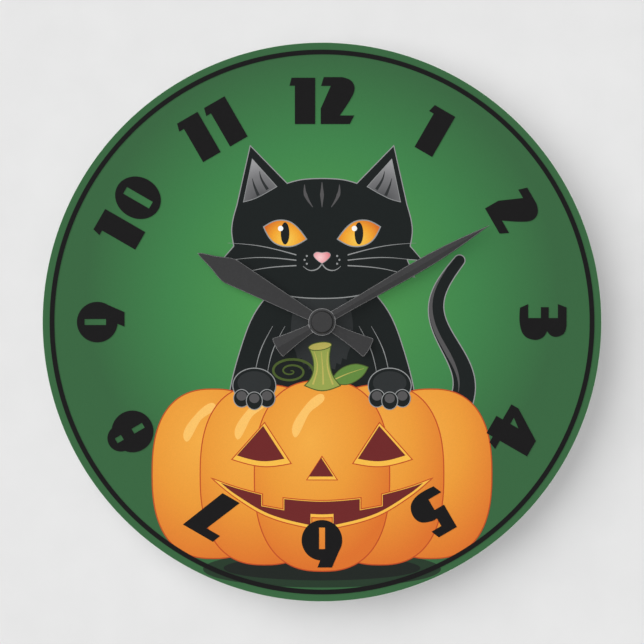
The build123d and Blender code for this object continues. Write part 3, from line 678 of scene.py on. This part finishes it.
def draw_stem(art):
    """A stubby ribbed stem with one leaf and a curled tendril."""
    turns, steps = 2.25, 70
    curl = []
    for i in range(steps + 1):
        angle, inward = math.tau * turns * i / steps, 1 - i / steps
        curl.append((-15.2 + 11 * inward * math.cos(angle), -24 + 6.5 * inward * math.sin(angle)))
    art.stroke(curl, (1.3, 1.0, 0.5), "stem_line", 26)
    leaf = flow([(4, -29, 1), (9, -23), (16, -20.5), (22.5, -22, 1), (19, -27), (12, -30.5)])
    art.drawn(leaf, "leaf", 24, line="stem_line", width=0.4)
    vein = flow([(5, -28.6), (12, -25.4), (20.5, -22.6)], closed=False)
    art.stroke(vein, (0.7, 0.4, 0.1), "stem_light", 26)
    stem = flow([(-8.5, -31, 1), (-4.8, -26), (-4.2, -19), (-6.5, -12.5, 1), (4.5, -11, 1), (3.6, -18),
                 (5, -25.5), (9, -31, 1), (0, -33.5)])
    art.drawn(stem, "stem", 28, line="stem_line", width=LINE)
    for x in (-3, 0.4, 3.6):
        rib = flow([(x * 1.5, -30.5), (x * 0.75, -22), (x - 0.8, -14.4)], closed=False)
        art.stroke(rib, (0.9, 0.6, 0.3), "stem_light", 30)
    art.drawn(oval(-1, -11.8, 5.7, 1.9, turn=8), "stem_light", 30, line="stem_line", width=0.4)


cat = Artwork("print_cat")
draw_tail(cat)
draw_body(cat)
draw_head(cat)
draw_face(cat)
for side in SIDES:
    draw_paw(cat, side)
cat.build()

pumpkin = Artwork("print_pumpkin")
draw_lobes(pumpkin)
draw_carving(pumpkin)
draw_stem(pumpkin)
pumpkin.build()


# --------------------------------------------------- materials of the parts

def paint(material, *names):
    """Gives each named part the material."""
    for name in names:
        mesh = frame["nodes"][name].data
        mesh.materials.clear()
        mesh.materials.append(material)


def acrylic():
    """Clear pale acrylic, with a grey film on its back."""
    made, nodes, links, shader = new_material("acrylic")
    coordinates = nodes.new("ShaderNodeTexCoord")
    split = nodes.new("ShaderNodeSeparateXYZ")
    back = nodes.new("ShaderNodeMapRange")
    back.inputs["From Min"].default_value = dial_high.y - 0.06 * MM
    back.inputs["From Max"].default_value = dial_high.y - 0.02 * MM
    shades = ramp(nodes, [(0.0, rgba((222, 228, 222))), (1.0, rgba((112, 114, 114)))])
    grain = ramp(nodes, [(0.3, (0.93, 0.93, 0.93, 1)), (0.7, (1, 1, 1, 1))])
    links.new(coordinates.outputs["Object"], split.inputs["Vector"])
    links.new(split.outputs["Y"], back.inputs["Value"])
    links.new(back.outputs["Result"], shades.inputs["Fac"])
    links.new(noise(nodes, links, 300.0), grain.inputs["Fac"])
    links.new(multiplied(nodes, links, shades, grain), shader.inputs["Base Color"])
    finish_surface(nodes, links, shader, 1500.0, (0.16, 0.26), 0.04)
    return made


paint(acrylic(), "dial_panel")
paint(surface("rubber", (26, 26, 27), roughness=(0.75, 0.9), bump=0.5), "dial_gasket")
paint(surface("brass", (198, 160, 88), metallic=1.0, roughness=(0.22, 0.36), vary=0.15),
      "dial_washer", "hex_nut", "threaded_bushing", "cannon_arbor")
paint(surface("case_black", (34, 34, 36), roughness=(0.42, 0.6), bump=0.6, scale=3500),
      "front_case", "rear_cover")
paint(surface("plate_grey", (150, 152, 155), roughness=(0.4, 0.55)), "middle_plate", "train_bridge")
paint(surface("wheel_white", (228, 224, 210), roughness=(0.3, 0.45)),
      "centre_wheel", "hour_wheel", "motion_wheel", "third_wheel", "intermediate_wheel", "rotor_pinion",
      "setting_gear")
paint(surface("wheel_red", (176, 60, 44), roughness=(0.3, 0.45)), "seconds_wheel")
paint(surface("knob_plastic", (176, 172, 160), roughness=(0.35, 0.5)), "setting_knob")
paint(surface("bobbin_blue", (60, 98, 150), roughness=(0.35, 0.5)), "coil_bobbin")
paint(surface("zinc_steel", (178, 180, 182), metallic=1.0, roughness=(0.28, 0.45), vary=0.2, patch=400),
      "hanger_plate", "hanger_screws", "bridge_screws", "seconds_arbor")
paint(surface("motor_iron", (120, 122, 126), metallic=1.0, roughness=(0.35, 0.5)), "stator", "coil_core")
paint(surface("copper", (190, 96, 52), metallic=1.0, roughness=(0.25, 0.4), scale=6000, stretch=(8, 1, 1)),
      "coil_winding")
paint(surface("board_green", (34, 96, 58), roughness=(0.35, 0.5)), "circuit_board")
paint(surface("chip_resin", (22, 22, 24), roughness=(0.2, 0.35)), "chip_blob")
paint(surface("crystal_can", (186, 186, 184), metallic=1.0, roughness=(0.2, 0.3)), "quartz_crystal")
paint(surface("nickel_strip", (200, 196, 186), metallic=1.0, roughness=(0.2, 0.32)),
      "contact_positive", "contact_negative", "battery_can")
paint(surface("magnet", (70, 70, 74), metallic=0.8, roughness=(0.3, 0.45)), "rotor_magnet")


def banded(name, colour, band_colour, start, end):
    """A glossy sleeve with one plain band across it, from start to end along x."""
    made, nodes, links, shader = new_material(name)
    coordinates = nodes.new("ShaderNodeTexCoord")
    split = nodes.new("ShaderNodeSeparateXYZ")
    place = nodes.new("ShaderNodeMapRange")
    place.inputs["From Min"].default_value = start
    place.inputs["From Max"].default_value = end
    bands = ramp(nodes, [(0.0, rgba(colour)), (0.02, rgba(band_colour)), (0.98, rgba(colour))])
    bands.color_ramp.interpolation = "CONSTANT"
    scuffs = ramp(nodes, [(0.3, (0.86, 0.86, 0.86, 1)), (0.7, (1, 1, 1, 1))])
    links.new(coordinates.outputs["Object"], split.inputs["Vector"])
    links.new(split.outputs["X"], place.inputs["Value"])
    links.new(place.outputs["Result"], bands.inputs["Fac"])
    links.new(noise(nodes, links, 260.0, (0.3, 1, 1)), scuffs.inputs["Fac"])
    links.new(multiplied(nodes, links, bands, scuffs), shader.inputs["Base Color"])
    finish_surface(nodes, links, shader, 1800.0, (0.25, 0.38), 0.05)
    return made


sleeve_low, sleeve_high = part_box("battery_wrapper")
sleeve_length = sleeve_high.x - sleeve_low.x
paint(banded("cell_sleeve", (52, 82, 124), (168, 170, 172), sleeve_low.x + sleeve_length * 0.74,
             sleeve_low.x + sleeve_length * 0.86), "battery_wrapper")


def painted_metal(name, colour, highlight_colour, highlight_width):
    """Satin paint with a painted highlight: a paler tone along sharp edges and folds."""
    made, nodes, links, shader = new_material(name)
    shader.inputs["Specular IOR Level"].default_value = 0.14
    rounded = nodes.new("ShaderNodeBevel")
    rounded.samples = 12
    rounded.inputs["Radius"].default_value = highlight_width
    geometry = nodes.new("ShaderNodeNewGeometry")
    likeness = nodes.new("ShaderNodeVectorMath")
    likeness.operation = "DOT_PRODUCT"
    links.new(rounded.outputs["Normal"], likeness.inputs[0])
    links.new(geometry.outputs["True Normal"], likeness.inputs[1])
    # Mask of the painted edge highlight: where the rounded normal parts from the true one.
    edge = nodes.new("ShaderNodeMapRange")
    edge.inputs["From Min"].default_value = 0.985
    edge.inputs["From Max"].default_value = 0.93
    links.new(likeness.outputs["Value"], edge.inputs["Value"])
    shades = ramp(nodes, [(0.35, rgba(colour, 0.94)), (0.65, rgba(colour, 1.06))])
    # The paler edge colour is a painted highlight.
    edge_highlight = ramp(nodes, [(0.35, rgba(highlight_colour, 0.85)), (0.65, rgba(highlight_colour, 1.1))])
    patches = noise(nodes, links, 900.0)
    links.new(patches, shades.inputs["Fac"])
    links.new(patches, edge_highlight.inputs["Fac"])
    blend = nodes.new("ShaderNodeMix")
    blend.data_type = "RGBA"
    links.new(edge.outputs["Result"], blend.inputs["Factor"])
    links.new(shades.outputs["Color"], blend.inputs["A"])
    links.new(edge_highlight.outputs["Color"], blend.inputs["B"])
    links.new(blend.outputs["Result"], shader.inputs["Base Color"])
    finish_surface(nodes, links, shader, 2500.0, (0.42, 0.55), 0.12)
    return made


# The second colour and width give the painted highlight along the edges of the hands and cap.
paint(painted_metal("hand_paint", (50, 50, 51), (150, 150, 151), 0.6 * MM), "minute_hand", "hour_hand")
# The cap's paint is a darker copy of the hands' paint. It is darkened because the cap faces the lamps
# squarely, so this is painted shade.
paint(painted_metal("cap_paint_shaded", (41, 41, 42), (120, 120, 121), 0.5 * MM), "cap_nut")


# ------------------------------------------------- wall, lights and camera

def staged(name, data, location, rotation=(0, 0, 0)):
    """A new object of the stage, put into the scene."""
    made = bpy.data.objects.new(name, data)
    bpy.context.scene.collection.objects.link(made)
    made.location = location
    made.rotation_euler = rotation
    return made


def wall_paint():
    """Matt wall paint that is clear when seen from its back."""
    made, nodes, links, shader = new_material("wall_paint")
    shader.inputs["Specular IOR Level"].default_value = 0.1
    plaster = ramp(nodes, [(0.3, rgba(WALL_COLOUR, 0.985)), (0.7, rgba(WALL_COLOUR, 1.015))])
    links.new(noise(nodes, links, 40.0), plaster.inputs["Fac"])
    links.new(plaster.outputs["Color"], shader.inputs["Base Color"])
    finish_surface(nodes, links, shader, 900.0, (0.85, 0.95), 0.1)
    see_through = nodes.new("ShaderNodeBsdfTransparent")
    either = nodes.new("ShaderNodeMixShader")
    geometry = nodes.new("ShaderNodeNewGeometry")
    links.new(geometry.outputs["Backfacing"], either.inputs["Fac"])
    links.new(shader.outputs["BSDF"], either.inputs[1])
    links.new(see_through.outputs["BSDF"], either.inputs[2])
    links.new(either.outputs["Shader"], nodes["Material Output"].inputs["Surface"])
    return made


WALL_GAP = 0.3 * MM
WALL_HALF = 4.0
wall_mesh = bpy.data.meshes.new("wall")
wall_y = cad_high.y + WALL_GAP
wall_mesh.from_pydata([(-WALL_HALF, wall_y, -WALL_HALF), (WALL_HALF, wall_y, -WALL_HALF),
                       (WALL_HALF, wall_y, WALL_HALF), (-WALL_HALF, wall_y, WALL_HALF)], [], [(0, 1, 2, 3)])
wall = staged("wall", wall_mesh, (0, 0, 0))
wall.visible_shadow = False
wall_mesh.materials.append(wall_paint())


def sunlight(name, way, share, softness):
    """A soft distant light from where way points. share is its part of full light on the wall."""
    way = way.normalized()
    data = bpy.data.lights.new(name, "SUN")
    data.energy = share * math.pi / abs(way.y)
    data.angle = math.radians(softness)
    made = staged(name, data, way * 3)
    made.rotation_euler = way.to_track_quat("Z", "Y").to_euler()
    return made


# The key comes from the upper left and the fill from nearly straight ahead. The back light is for the clock's
# back, and having no bounces it doesn't reach the faces that are seen from the front.
KEY_OFF_AXIS = math.radians(43)
KEY_RISE = math.radians(27)
key_way = Vector((-math.sin(KEY_OFF_AXIS) * math.cos(KEY_RISE), -math.cos(KEY_OFF_AXIS),
                  math.sin(KEY_OFF_AXIS) * math.sin(KEY_RISE)))
sunlight("key", key_way, share=0.43, softness=62)
sunlight("fill", Vector((-0.02, -1.0, 0.01)), share=0.455, softness=8)
back_light = sunlight("back", Vector((0.5, 1.0, 0.7)), share=0.95, softness=60)
back_light.data.cycles.max_bounces = 0


def studio_world(fill_strength, gloss_strength, backdrop_strength):
    """White all round: faint as a light, brighter in reflections, and pale where the camera sees it."""
    world = bpy.data.worlds.new("studio")
    bpy.context.scene.world = world
    world.use_nodes = True
    nodes, links = world.node_tree.nodes, world.node_tree.links
    ray = nodes.new("ShaderNodeLightPath")
    shown = nodes["Background"]
    shown.inputs["Strength"].default_value = fill_strength
    so_far = shown
    for output, strength in (("Is Glossy Ray", gloss_strength), ("Is Camera Ray", backdrop_strength)):
        extra = nodes.new("ShaderNodeBackground")
        extra.inputs["Strength"].default_value = strength
        choice = nodes.new("ShaderNodeMixShader")
        links.new(ray.outputs[output], choice.inputs["Fac"])
        links.new(so_far.outputs[0], choice.inputs[1])
        links.new(extra.outputs["Background"], choice.inputs[2])
        so_far = choice
    for node in nodes:
        if node.type == "BACKGROUND":
            node.inputs["Color"].default_value = (1, 1, 1, 1)
    links.new(so_far.outputs[0], nodes["World Output"].inputs["Surface"])


studio_world(fill_strength=0.115, gloss_strength=0.3, backdrop_strength=0.78)

# The camera looks straight at the dial and takes in FRAME_WIDTH at its face, both in metres.
CAMERA_DISTANCE = 2.0
FRAME_WIDTH = 0.314
SENSOR_WIDTH = 36
camera_data = bpy.data.cameras.new("camera")
camera_data.sensor_width = SENSOR_WIDTH
camera_data.lens = SENSOR_WIDTH * CAMERA_DISTANCE / FRAME_WIDTH
camera_data.clip_start = 0.1
camera_data.clip_end = 50
camera_at = (SPINDLE.x, FACE_Y - CAMERA_DISTANCE, SPINDLE.z)
camera = staged("camera", camera_data, camera_at, (math.pi / 2, 0, 0))
bpy.context.scene.camera = camera
bpy.context.scene.view_settings.view_transform = "Standard"
bpy.context.scene.view_settings.look = "None"
